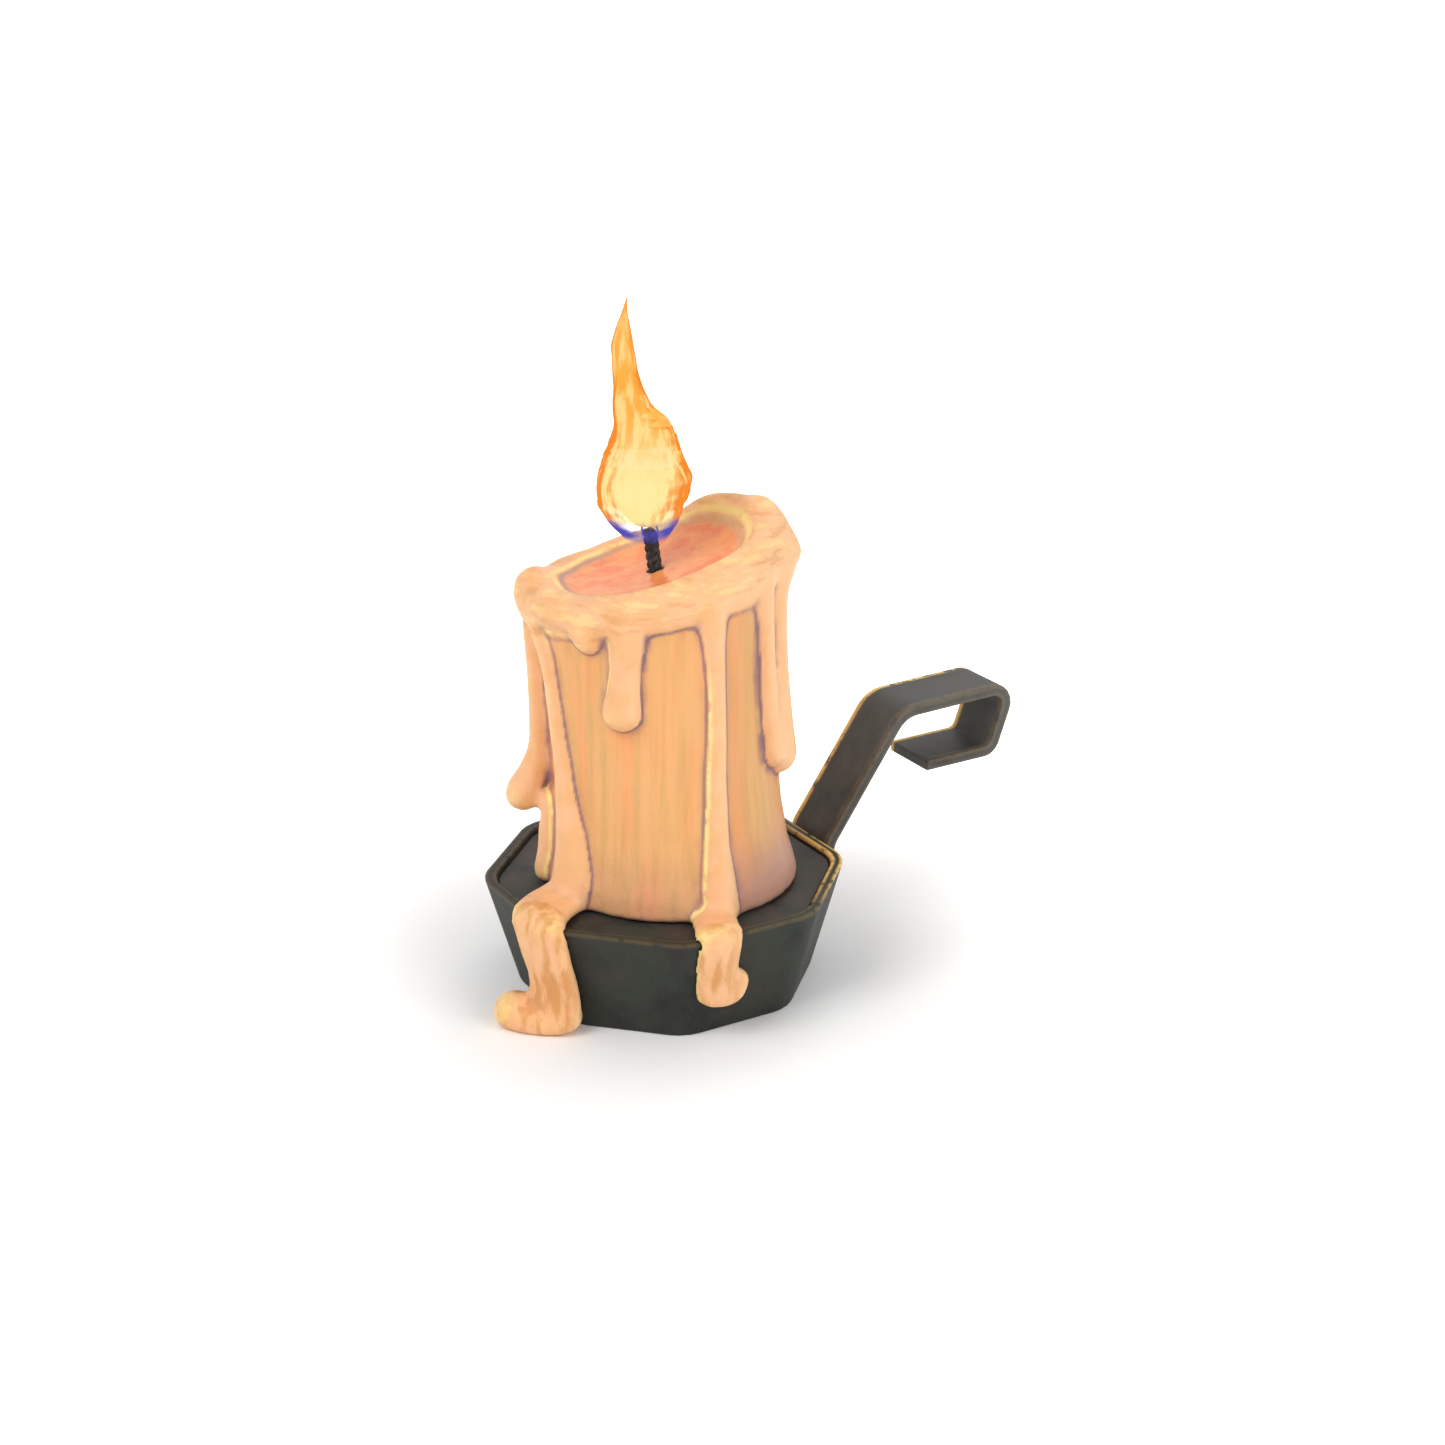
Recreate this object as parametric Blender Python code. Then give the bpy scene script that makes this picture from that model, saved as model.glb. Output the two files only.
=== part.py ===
"""A melted pillar candle in an eight-sided iron chamberstick with a strap handle.

Units are metres and +Z is up. The origin is the centre of the pan's flat underside, and
the handle points along +X. A bearing is an angle in degrees about +Z, measured from +X.
"""
import math

import bmesh
import bpy
from mathutils import Matrix, Vector

# Clearance between two pieces that touch
FIT = 0.0003

# The pan: eight sloping sides, measured across the flats from the axis
PAN_SIDES = 8
PAN_BASE_FLAT = 0.0351
PAN_RIM_FLAT = 0.0425
PAN_HEIGHT = 0.0280
PAN_WALL = 0.0026
PAN_FLOOR = 0.0025
PAN_CORNER_ROUND = 0.0040
RIM_EDGE_ROUND = 0.0005

# The lift-out cup: a round socket under an eight-sided drip plate
PLATE_DROP = 0.0014
PLATE_THICKNESS = 0.0016
CUP_WALL = 0.0015
CUP_FLOOR = 0.0015
BUTT_RADIUS = 0.0270

# The strap handle: reach is measured out from the rim, rise is measured up from it
STRAP_WIDTH = 0.0170
STRAP_THICKNESS = 0.0030
STRAP_FOOT_HEIGHT = 0.0030
SHOULDER_REACH = 0.0215
SHOULDER_RISE = 0.0310
END_REACH = 0.0560
END_RISE = 0.0320
HEEL_REACH = 0.0500
HEEL_RISE = 0.0152
TIP_REACH = 0.0290
TIP_RISE = 0.0150
RIM_BEND = 0.0080
SHOULDER_BEND = 0.0080
END_BEND = 0.0042
HEEL_BEND = 0.0036
STRAP_EDGE_ROUND = 0.0006

# The rivets through the pan's wall and the strap
RIVET_RADIUS = 0.0020
RIVET_HEAD_RADIUS = 0.0038
RIVET_HEAD_HEIGHT = 0.0018
RIVET_LOWER_HEIGHT = 0.0085
RIVET_UPPER_HEIGHT = 0.0185

# The candle above the drip plate
CANDLE_STAND = 0.0821
FOOT_RADIUS = 0.0312
FOOT_FLARE_HEIGHT = 0.0200
BODY_RADIUS = 0.0280
LIP_RADIUS = 0.0300
LIP_DEPTH = 0.0095
CREST_RADIUS = 0.0255
CRATER_RADIUS = 0.0222
CRATER_DEPTH = 0.0030
BUTT_OVERLAP = 0.0020

# The lip rises, and the foot leans out, towards this bearing
HIGH_BEARING = -30.6
CREST_SLOPE = 0.31
FOOT_LEAN = 0.0020
TOP_LEAN = -0.0024

# Every 30 degrees from bearing 0: how far the lip stands above its sloping plane,
# and how far it swells out past its plain radius
LIP_RISE = (
    0.0046, 0.0050, 0.0008, 0.0014, 0.0034, 0.0052,
    0.0042, 0.0022, 0.0010, 0.0010, 0.0008, 0.0012,
)
LIP_SWELL = (
    0.0018, 0.0010, 0.0005, 0.0005, 0.0015, 0.0036,
    0.0024, 0.0010, 0.0006, 0.0006, 0.0010, 0.0028,
)

# Runs of wax down the candle. A station is its bearing, the way down from the lip's
# crest (0) to the drip plate (1), half the run's width, and how far its middle
# stands out from the candle's side.
RUN_FRONT_SHORT = (
    (228.0, 0.09, 0.0048, -0.0002),
    (227.0, 0.15, 0.0041, 0.0004),
    (225.8, 0.22, 0.0036, 0.0003),
    (224.3, 0.29, 0.0041, 0.0004),
    (222.8, 0.345, 0.0049, 0.0004),
)
RUN_FRONT_LONG = (
    (268.5, 0.09, 0.0042, -0.0002),
    (269.0, 0.16, 0.0030, 0.0006),
    (269.3, 0.24, 0.0023, 0.0006),
    (269.0, 0.36, 0.0022, 0.0005),
    (267.8, 0.50, 0.0023, 0.0005),
    (265.8, 0.64, 0.0026, 0.0005),
    (264.3, 0.76, 0.0032, 0.0004),
    (263.4, 0.87, 0.0042, 0.0002),
    (262.6, 0.97, 0.0054, -0.0010),
)
RUN_LEFT_LONG = (
    (170.0, 0.08, 0.0036, 0.0000),
    (174.5, 0.14, 0.0026, 0.0010),
    (177.5, 0.25, 0.0023, 0.0008),
    (180.3, 0.40, 0.0023, 0.0007),
    (183.0, 0.56, 0.0027, 0.0007),
    (185.5, 0.70, 0.0040, 0.0004),
    (187.5, 0.81, 0.0056, 0.0000),
    (188.0, 0.93, 0.0076, -0.0012),
)
RUN_LEFT_LUMP = (
    (146.0, 0.050, 0.0044, -0.0004),
    (158.0, 0.065, 0.0056, 0.0004),
    (168.0, 0.085, 0.0050, -0.0002),
)
RUN_LEFT_BLOB = (
    (152.0, 0.09, 0.0038, 0.0002),
    (151.0, 0.20, 0.0031, 0.0016),
    (150.5, 0.40, 0.0029, 0.0020),
    (150.0, 0.56, 0.0034, 0.0026),
    (149.5, 0.66, 0.0046, 0.0046),
    (149.2, 0.715, 0.0054, 0.0062),
)
RUN_LEFT_FOOT = (
    (160.0, 0.72, 0.0026, 0.0006),
    (158.5, 0.84, 0.0034, 0.0012),
    (157.5, 0.96, 0.0040, 0.0008),
)
RUN_RIGHT_INNER = (
    (306.0, 0.09, 0.0042, -0.0002),
    (304.8, 0.18, 0.0031, 0.0006),
    (304.5, 0.34, 0.0028, 0.0006),
    (305.3, 0.50, 0.0030, 0.0006),
    (308.0, 0.60, 0.0036, 0.0006),
)
RUN_RIGHT_OUTER = (
    (324.0, 0.09, 0.0050, -0.0004),
    (321.5, 0.20, 0.0043, 0.0004),
    (319.5, 0.40, 0.0042, 0.0002),
    (318.5, 0.54, 0.0048, 0.0002),
    (318.0, 0.625, 0.0054, 0.0002),
)
RUN_LOBE = (
    (206.0, 0.08, 0.0044, 0.0000),
    (207.0, 0.115, 0.0036, 0.0006),
)
RUN_BACK_RIGHT = (
    (352.0, 0.09, 0.0044, -0.0002),
    (351.0, 0.20, 0.0031, 0.0004),
    (350.0, 0.36, 0.0037, 0.0004),
)
RUN_BACK_FOOT = (
    (22.0, 0.09, 0.0044, -0.0002),
    (21.0, 0.22, 0.0028, 0.0006),
    (19.5, 0.52, 0.0027, 0.0006),
    (18.0, 0.80, 0.0036, 0.0004),
    (17.5, 0.96, 0.0052, 0.0000),
)
RUN_BACK_MIDDLE = (
    (62.0, 0.08, 0.0042, -0.0002),
    (61.0, 0.20, 0.0027, 0.0004),
    (60.0, 0.40, 0.0026, 0.0004),
    (59.5, 0.52, 0.0036, 0.0006),
)
RUN_BACK_SHORT = (
    (86.0, 0.08, 0.0040, -0.0002),
    (87.0, 0.17, 0.0029, 0.0004),
    (87.5, 0.25, 0.0036, 0.0004),
)
RUN_BACK_LEFT = (
    (118.0, 0.08, 0.0048, -0.0002),
    (117.0, 0.20, 0.0033, 0.0004),
    (116.0, 0.46, 0.0030, 0.0006),
    (115.5, 0.64, 0.0043, 0.0008),
)
SIDE_RUNS = (
    RUN_FRONT_SHORT,
    RUN_FRONT_LONG,
    RUN_LEFT_LONG,
    RUN_LEFT_LUMP,
    RUN_LEFT_BLOB,
    RUN_LEFT_FOOT,
    RUN_RIGHT_INNER,
    RUN_RIGHT_OUTER,
    RUN_LOBE,
    RUN_BACK_RIGHT,
    RUN_BACK_FOOT,
    RUN_BACK_MIDDLE,
    RUN_BACK_SHORT,
    RUN_BACK_LEFT,
)

# Wax that ran over the pan's rim. A station is its bearing, the distance out from the
# wall's outer face, the height above the rim, and half its width, depth and height.
# Each spill starts at the candle's foot, with its bearing, height and half sizes.
SPILL_FRONT_START = (262.0, 0.0002, 0.0056, 0.0050, 0.0030)
SPILL_FRONT = (
    (259.8, -0.0065, 0.0004, 0.0058, 0.0040, 0.0029),
    (258.0, -0.0005, 0.0002, 0.0060, 0.0034, 0.0032),
    (257.4, 0.0012, -0.0060, 0.0056, 0.0026, 0.0044),
    (257.6, 0.0013, -0.0115, 0.0056, 0.0027, 0.0044),
    (259.6, 0.0017, -0.0150, 0.0066, 0.0034, 0.0044),
    (263.6, 0.0016, -0.0125, 0.0044, 0.0030, 0.0038),
)
SPILL_LEFT_START = (188.0, 0.0004, 0.0078, 0.0050, 0.0034)
SPILL_LEFT = (
    (192.5, -0.0050, 0.0006, 0.0084, 0.0040, 0.0031),
    (197.5, -0.0005, 0.0002, 0.0088, 0.0036, 0.0034),
    (200.5, 0.0010, -0.0070, 0.0082, 0.0030, 0.0048),
    (201.5, 0.0011, -0.0140, 0.0078, 0.0031, 0.0048),
    (201.0, 0.0020, -0.0205, 0.0080, 0.0040, 0.0048),
    (199.0, 0.0040, -0.0250, 0.0088, 0.0056, 0.0040),
    (194.0, 0.0080, -0.0252, 0.0070, 0.0056, 0.0046),
    (190.0, 0.0105, -0.0243, 0.0056, 0.0054, 0.0052),
)

# Mesh fineness of the wax
BEAD_STEP = 0.0012
WAX_VOXEL = 0.0011
WAX_SMOOTHING = 5
WAX_KEEP = 0.13

# The wick: its lean is measured from the candle's axis towards HIGH_BEARING
WICK_RADIUS = 0.00175
WICK_OUT_LEAN = -0.0017
WICK_TIP_LEAN = -0.0031
WICK_STRAIGHT = 0.0650
WICK_LENGTH_SHOWN = 0.0113

# The flame: height above the wick's tip, distance towards HIGH_BEARING, and radius
FLAME_STATIONS = (
    (-0.0052, -0.0003, 0.0030),
    (-0.0022, -0.0008, 0.0056),
    (0.0010, -0.0013, 0.0080),
    (0.0050, -0.0018, 0.0098),
    (0.0085, -0.0014, 0.0107),
    (0.0122, -0.0009, 0.0107),
    (0.0150, -0.0005, 0.0096),
    (0.0185, -0.0006, 0.0082),
    (0.0234, -0.0015, 0.0066),
    (0.0273, -0.0035, 0.0047),
    (0.0318, -0.0041, 0.0034),
    (0.0358, -0.0050, 0.0029),
    (0.0414, -0.0059, 0.0026),
    (0.0450, -0.0055, 0.0018),
    (0.0482, -0.0050, 0.0009),
    (0.0521, -0.0044, 0.0003),
)
FLAME_RING_POINTS = 20

HALF_FACET = 180.0 / PAN_SIDES
WALL_LEAN = math.atan2(PAN_RIM_FLAT - PAN_BASE_FLAT, PAN_HEIGHT)
PLATE_TOP = PAN_HEIGHT - PLATE_DROP
CREST_HEIGHT = PLATE_TOP + CANDLE_STAND


def clear_scene():
    for thing in list(bpy.data.objects):
        bpy.data.objects.remove(thing, do_unlink=True)


def make_material(name, colour, roughness, metallic):
    material = bpy.data.materials.new(name)
    material.use_nodes = True
    shader = material.node_tree.nodes["Principled BSDF"]
    shader.inputs["Base Color"].default_value = (*colour, 1.0)
    shader.inputs["Roughness"].default_value = roughness
    shader.inputs["Metallic"].default_value = metallic
    return material


def add_object(name, bm, material=None, smooth_angle=None):
    """Put a finished bmesh into the scene as an object of this name."""
    mesh = bpy.data.meshes.new(name)
    bm.normal_update()
    bmesh.ops.recalc_face_normals(bm, faces=bm.faces)
    bm.to_mesh(mesh)
    bm.free()
    thing = bpy.data.objects.new(name, mesh)
    bpy.context.scene.collection.objects.link(thing)
    if material:
        mesh.materials.append(material)
    if smooth_angle:
        mesh.shade_smooth()
        mesh.set_sharp_from_angle(angle=math.radians(smooth_angle))
    return thing


def hide_cutter(thing):
    thing.hide_render = True
    thing.display_type = "WIRE"
    return thing


def add_boolean(thing, other, operation):
    """Cut another solid from this one, or join it on, and keep the other as a guide."""
    hide_cutter(other)
    modifier = thing.modifiers.new(operation.lower() + " " + other.name, "BOOLEAN")
    modifier.operation = operation
    modifier.solver = "EXACT"
    modifier.object = other


def wall_flat(height):
    """Distance from the axis to the flat outer face of the pan's wall."""
    return PAN_BASE_FLAT + height * math.tan(WALL_LEAN)


def bore_flat(height):
    """Distance from the axis to the flat inner face of the pan's wall."""
    return wall_flat(height) - PAN_WALL / math.cos(WALL_LEAN)


def wall_radius(bearing, height):
    """Distance from the axis to the pan's outer face at any bearing."""
    from_flat = (bearing + HALF_FACET) % (2 * HALF_FACET) - HALF_FACET
    return wall_flat(height) / math.cos(math.radians(from_flat))


def polar(bearing, distance, height):
    angle = math.radians(bearing)
    return Vector((distance * math.cos(angle), distance * math.sin(angle), height))


def octagon_solid(rings, corner_round):
    """Draw an eight-sided face up and down through rings of (flat, height), round corners."""
    bm = bmesh.new()
    flat, height = rings[0]
    turn = Matrix.Rotation(math.radians(HALF_FACET), 4, "Z")
    bmesh.ops.create_circle(
        bm, cap_ends=True, segments=PAN_SIDES, matrix=Matrix.Translation((0, 0, height)) @ turn,
        radius=flat / math.cos(math.radians(HALF_FACET)),
    )
    loop = bm.edges[:]
    corner_edges = []
    for next_flat, next_height in rings[1:]:
        drawn = bmesh.ops.extrude_edge_only(bm, edges=loop)["geom"]
        verts = [item for item in drawn if isinstance(item, bmesh.types.BMVert)]
        for vert in verts:
            vert.co = (*(vert.co.xy * next_flat / flat), next_height)
        loop = [edge for edge in bm.edges if all(vert in verts for vert in edge.verts)]
        corner_edges += [edge for vert in verts for edge in vert.link_edges if edge not in loop]
        flat = next_flat
    bmesh.ops.contextual_create(bm, geom=loop)
    bm.normal_update()
    bmesh.ops.recalc_face_normals(bm, faces=bm.faces)
    bmesh.ops.bevel(
        bm, geom=corner_edges, offset=corner_round, offset_type="OFFSET", segments=3,
        profile=0.5, affect="EDGES", clamp_overlap=True, material=-1,
    )
    return bm


def round_solid(radius, bottom, top, segments=64):
    bm = bmesh.new()
    place = Matrix.Translation((0, 0, (bottom + top) / 2))
    bmesh.ops.create_cone(
        bm, cap_ends=True, segments=segments, radius1=radius, radius2=radius,
        depth=top - bottom, matrix=place,
    )
    return bm


def tube_along(points, radius, segments=16):
    """A round tube through a list of points, with flat ends square to it."""
    bm = bmesh.new()
    loops = []
    for index, point in enumerate(points):
        before = points[max(index - 1, 0)]
        after = points[min(index + 1, len(points) - 1)]
        aim = (after - before).to_track_quat("Z", "Y").to_matrix().to_4x4()
        place = Matrix.Translation(point) @ aim
        made = bmesh.ops.create_circle(bm, segments=segments, radius=radius, matrix=place)
        loops.append(list({edge for vert in made["verts"] for edge in vert.link_edges}))
    for lower, upper in zip(loops, loops[1:]):
        bmesh.ops.bridge_loops(bm, edges=lower + upper)
    bmesh.ops.contextual_create(bm, geom=loops[0])
    bmesh.ops.contextual_create(bm, geom=loops[-1])
    return bm


def between(stations, place):
    """Read a smooth curve through a list of stations at a place from 0 to its last index."""
    last = len(stations) - 1
    index = min(int(place), last - 1)
    part = place - index
    rows = [stations[min(max(index + step, 0), last)] for step in (-1, 0, 1, 2)]
    return [
        0.5 * (2 * b + (c - a) * part + (2 * a - 5 * b + 4 * c - d) * part ** 2
               + (3 * b - a - 3 * c + d) * part ** 3)
        for a, b, c, d in zip(*rows)
    ]


def around(values, bearing):
    """Read a closed ring of values, evenly spaced from bearing 0, at any bearing."""
    place = bearing % 360 / 360 * len(values)
    index = int(place)
    part = (1 - math.cos((place - index) * math.pi)) / 2
    return values[index % len(values)] * (1 - part) + values[(index + 1) % len(values)] * part


def rivet_frame(height):
    """Place and turn of a rivet: its +Z points out through the wall at this height."""
    lean = Matrix.Rotation(math.pi / 2 + WALL_LEAN, 4, "Y")
    return Matrix.Translation((wall_flat(height), 0, height)) @ lean


def rivet_hole(name, height):
    """A cutter for the hole that one rivet passes through in the wall and the strap."""
    bm = round_solid(RIVET_RADIUS + FIT, -4 * PAN_WALL, 4 * STRAP_THICKNESS, 24)
    bm.transform(rivet_frame(height))
    return hide_cutter(add_object(name, bm))


def make_pan(material, holes):
    """One open pan: the outer face up, over the rim, and down the inner face."""
    rings = (
        (wall_flat(0), 0),
        (wall_flat(PAN_HEIGHT), PAN_HEIGHT),
        (bore_flat(PAN_HEIGHT), PAN_HEIGHT),
        (bore_flat(PAN_FLOOR), PAN_FLOOR),
    )
    pan = add_object("pan", octagon_solid(rings, PAN_CORNER_ROUND), material, 30)
    edge = pan.modifiers.new("worn edges", "BEVEL")
    edge.width = RIM_EDGE_ROUND
    edge.segments = 2
    edge.limit_method = "ANGLE"
    edge.angle_limit = math.radians(50)
    for hole in holes:
        add_boolean(pan, hole, "DIFFERENCE")
    return pan


def make_cup(material):
    """The socket turned as one with its drip plate, whose edge lies along the pan's wall."""
    plate_bottom = PLATE_TOP - PLATE_THICKNESS
    side_gap = FIT / math.cos(WALL_LEAN)
    rings = (
        (bore_flat(plate_bottom) - side_gap, plate_bottom),
        (bore_flat(PLATE_TOP) - side_gap, PLATE_TOP),
    )
    cup = add_object("candle_cup", octagon_solid(rings, PAN_CORNER_ROUND), material, 30)
    cup_bottom = PAN_FLOOR + FIT
    bore_radius = BUTT_RADIUS + FIT
    sleeve_top = PLATE_TOP - PLATE_THICKNESS / 2
    sleeve = round_solid(bore_radius + CUP_WALL, cup_bottom, sleeve_top)
    bore = round_solid(bore_radius, cup_bottom + CUP_FLOOR, PAN_HEIGHT)
    add_boolean(cup, add_object("cup sleeve", sleeve), "UNION")
    add_boolean(cup, add_object("cup bore", bore), "DIFFERENCE")
    return cup


def rounded_route(corners, bends, steps=6):
    """Round the inner corners of a route in the XZ plane with arcs of the given radii."""
    route = [corners[0]]
    for before, corner, after, bend in zip(corners, corners[1:], corners[2:], bends):
        back = (before - corner).normalized()
        ahead = (after - corner).normalized()
        half = back.angle(ahead) / 2
        cut = bend / math.tan(half)
        centre = corner + (back + ahead).normalized() * (bend / math.sin(half))
        start = corner + back * cut - centre
        sweep = math.pi - 2 * half
        turn_axis = back.cross(ahead).normalized() * -1
        for step in range(steps + 1):
            spin = Matrix.Rotation(sweep * step / steps, 3, turn_axis)
            route.append(centre + spin @ start)
    route.append(corners[-1])
    return route


def strap_route():
    """Middle line of the strap, from its foot on the pan's wall to the tip of its hook."""
    out = (FIT + STRAP_THICKNESS / 2) / math.cos(WALL_LEAN)
    rim = Vector((wall_flat(PAN_HEIGHT) + out, 0, PAN_HEIGHT))
    foot = Vector((wall_flat(STRAP_FOOT_HEIGHT) + out, 0, STRAP_FOOT_HEIGHT))
    shoulder = rim + Vector((SHOULDER_REACH, 0, SHOULDER_RISE))
    end = rim + Vector((END_REACH, 0, END_RISE))
    heel = rim + Vector((HEEL_REACH, 0, HEEL_RISE))
    tip = rim + Vector((TIP_REACH, 0, TIP_RISE))
    bends = (RIM_BEND, SHOULDER_BEND, END_BEND, HEEL_BEND)
    return rounded_route((foot, rim, shoulder, end, heel, tip), bends)


def make_strap(material, holes):
    """The strap's middle line drawn out to its width, then given its thickness."""
    bm = bmesh.new()
    start = [bm.verts.new(point - Vector((0, STRAP_WIDTH / 2, 0))) for point in strap_route()]
    line = [bm.edges.new(pair) for pair in zip(start, start[1:])]
    drawn = bmesh.ops.extrude_edge_only(bm, edges=line)
    moved = [item for item in drawn["geom"] if isinstance(item, bmesh.types.BMVert)]
    bmesh.ops.translate(bm, verts=moved, vec=(0, STRAP_WIDTH, 0))
    strap = add_object("handle_strap", bm, material, 30)
    wall = strap.modifiers.new("thickness", "SOLIDIFY")
    wall.thickness = STRAP_THICKNESS
    wall.offset = 0
    wall.use_even_offset = True
    edge = strap.modifiers.new("worn edges", "BEVEL")
    edge.width = STRAP_EDGE_ROUND
    edge.segments = 2
    edge.limit_method = "ANGLE"
    edge.angle_limit = math.radians(50)
    for hole in holes:
        add_boolean(strap, hole, "DIFFERENCE")
    return strap


def make_rivet(name, material, height):
    """A shank between two domed heads, one inside the pan and one on the strap."""
    grip_in = -PAN_WALL - FIT
    grip_out = 2 * FIT + STRAP_THICKNESS
    dome = (0.0, 0.45, 0.8, 1.0)
    outline = []
    for level in dome[::-1]:
        head = RIVET_HEAD_RADIUS * math.sqrt(1 - level ** 2)
        outline.append((head, grip_in - level * RIVET_HEAD_HEIGHT))
    outline.append((RIVET_RADIUS, grip_in))
    outline.append((RIVET_RADIUS, grip_out))
    for level in dome:
        head = RIVET_HEAD_RADIUS * math.sqrt(1 - level ** 2)
        outline.append((head, grip_out + level * RIVET_HEAD_HEIGHT))
    bm = bmesh.new()
    verts = [bm.verts.new((radius, 0, along)) for radius, along in outline]
    edges = [bm.edges.new(pair) for pair in zip(verts, verts[1:])]
    bmesh.ops.spin(
        bm, geom=verts + edges, cent=(0, 0, 0), axis=(0, 0, 1), angle=math.tau,
        steps=20, use_merge=True,
    )
    bmesh.ops.remove_doubles(bm, verts=bm.verts, dist=0.00001)
    bm.transform(rivet_frame(height))
    return add_object(name, bm, material, 40)


def candle_axis(height):
    """Middle of the leaning candle at a height."""
    way = (height - PLATE_TOP) / CANDLE_STAND
    return polar(HIGH_BEARING, FOOT_LEAN + (TOP_LEAN - FOOT_LEAN) * way, 0)


def crest_height(bearing, radius):
    """Height of the lip's sloping, uneven crest."""
    slope = CREST_SLOPE * radius * math.cos(math.radians(bearing - HIGH_BEARING))
    return CREST_HEIGHT + slope + around(LIP_RISE, bearing) * (radius / LIP_RADIUS) ** 2


def candle_outline():
    """Turned outline of the candle: radius, way up from plate to crest, drop from crest."""
    flare = FOOT_FLARE_HEIGHT / CANDLE_STAND
    return (
        (0.0, 0.0, 0.0),
        (FOOT_RADIUS, 0.0, 0.0),
        (FOOT_RADIUS - 0.0008, 0.06, 0.0),
        ((FOOT_RADIUS + BODY_RADIUS) / 2 - 0.0005, flare / 2, 0.0),
        (BODY_RADIUS, flare, 0.0),
        (BODY_RADIUS - 0.0006, 0.45, 0.0),
        (BODY_RADIUS - 0.0004, 0.70, 0.0),
        (BODY_RADIUS, 1.0, LIP_DEPTH + 0.0030),
        (BODY_RADIUS + 0.0004, 1.0, LIP_DEPTH + 0.0004),
        (LIP_RADIUS - 0.0004, 1.0, LIP_DEPTH - 0.0012),
        (LIP_RADIUS, 1.0, LIP_DEPTH - 0.0040),
        (LIP_RADIUS - 0.0006, 1.0, LIP_DEPTH * 0.30),
        ((LIP_RADIUS + CREST_RADIUS) / 2, 1.0, 0.0008),
        (CREST_RADIUS, 1.0, 0.0),
        ((CREST_RADIUS + CRATER_RADIUS) / 2, 1.0, 0.0006),
        (CRATER_RADIUS, 1.0, CRATER_DEPTH * 0.50),
        (CRATER_RADIUS - 0.0016, 1.0, CRATER_DEPTH * 0.85),
        (CRATER_RADIUS * 0.5, 1.0, CRATER_DEPTH),
        (0.0, 1.0, CRATER_DEPTH),
    )


def shape_candle(point):
    """Move a point of the turned outline onto the leaning, unevenly melted candle."""
    radius = point.xy.length
    bearing = math.degrees(math.atan2(point.y, point.x)) if radius else 0.0
    way = min(max((point.z - PLATE_TOP) / CANDLE_STAND, 0.0), 1.0)
    melted = max(way - 0.75, 0.0) / 0.25
    near_lip = max(0.0, 1.0 - abs(radius - LIP_RADIUS) / (LIP_RADIUS - CREST_RADIUS))
    height = point.z + melted * (crest_height(bearing, radius) - CREST_HEIGHT)
    swell = around(LIP_SWELL, bearing) * near_lip * melted
    return polar(bearing, radius + swell, height) + candle_axis(point.z)


def add_candle_body(bm):
    outline = [
        bm.verts.new((radius, 0, PLATE_TOP + way * CANDLE_STAND - drop))
        for radius, way, drop in candle_outline()
    ]
    edges = [bm.edges.new(pair) for pair in zip(outline, outline[1:])]
    bmesh.ops.spin(
        bm, geom=outline + edges, cent=(0, 0, 0), axis=(0, 0, 1), angle=math.tau,
        steps=120, use_merge=True,
    )
    bmesh.ops.remove_doubles(bm, verts=bm.verts, dist=0.00001)
    for vert in bm.verts:
        vert.co = shape_candle(vert.co)


def add_bead(bm, middle, bearing, depth, width, height):
    """One bead of a run: a small ellipsoid turned to face its bearing."""
    place = Matrix.Translation(middle) @ Matrix.Rotation(math.radians(bearing), 4, "Z")
    size = Matrix.Diagonal((depth, width, height, 1.0))
    bmesh.ops.create_icosphere(bm, subdivisions=2, radius=1.0, matrix=place @ size)


def side_radius(way):
    """Radius of the candle's side at a way down from crest to plate."""
    flare = max(way - 1 + FOOT_FLARE_HEIGHT / CANDLE_STAND, 0.0) * CANDLE_STAND / FOOT_FLARE_HEIGHT
    return BODY_RADIUS + (FOOT_RADIUS - BODY_RADIUS) * flare ** 2


def side_bead(bearing, way, width, proud):
    """Middle and size of one bead of a run down the candle's side."""
    crest = crest_height(bearing, LIP_RADIUS)
    height = crest + (PLATE_TOP - crest) * way
    middle = polar(bearing, side_radius(way) + proud, height) + candle_axis(height)
    return middle, width


def add_side_run(bm, stations):
    ends = [side_bead(*station)[0] for station in stations]
    length = sum((b - a).length for a, b in zip(ends, ends[1:]))
    count = max(int(length / BEAD_STEP), 2)
    for step in range(count + 1):
        bearing, way, width, proud = between(stations, (len(stations) - 1) * step / count)
        middle, width = side_bead(bearing, way, width, proud)
        add_bead(bm, middle, bearing, width * 0.9, width, width)


def spill_bead(bearing, out, above, width, depth, height):
    middle = polar(bearing, 0, PAN_HEIGHT + above)
    wall = wall_radius(bearing, min(middle.z, PAN_HEIGHT))
    return middle + polar(bearing, wall + out, 0), bearing, depth, width, height


def add_spill(bm, start, stations):
    """Beads of wax across the plate, over the rim and down the outside of the pan."""
    bearing, *rest = start
    stations = ((bearing, FOOT_RADIUS - wall_radius(bearing, PAN_HEIGHT), *rest), *stations)
    ends = [spill_bead(*station)[0] for station in stations]
    length = sum((b - a).length for a, b in zip(ends, ends[1:]))
    count = int(length / BEAD_STEP)
    for step in range(count + 1):
        station = between(stations, (len(stations) - 1) * step / count)
        add_bead(bm, *spill_bead(*station))


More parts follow.
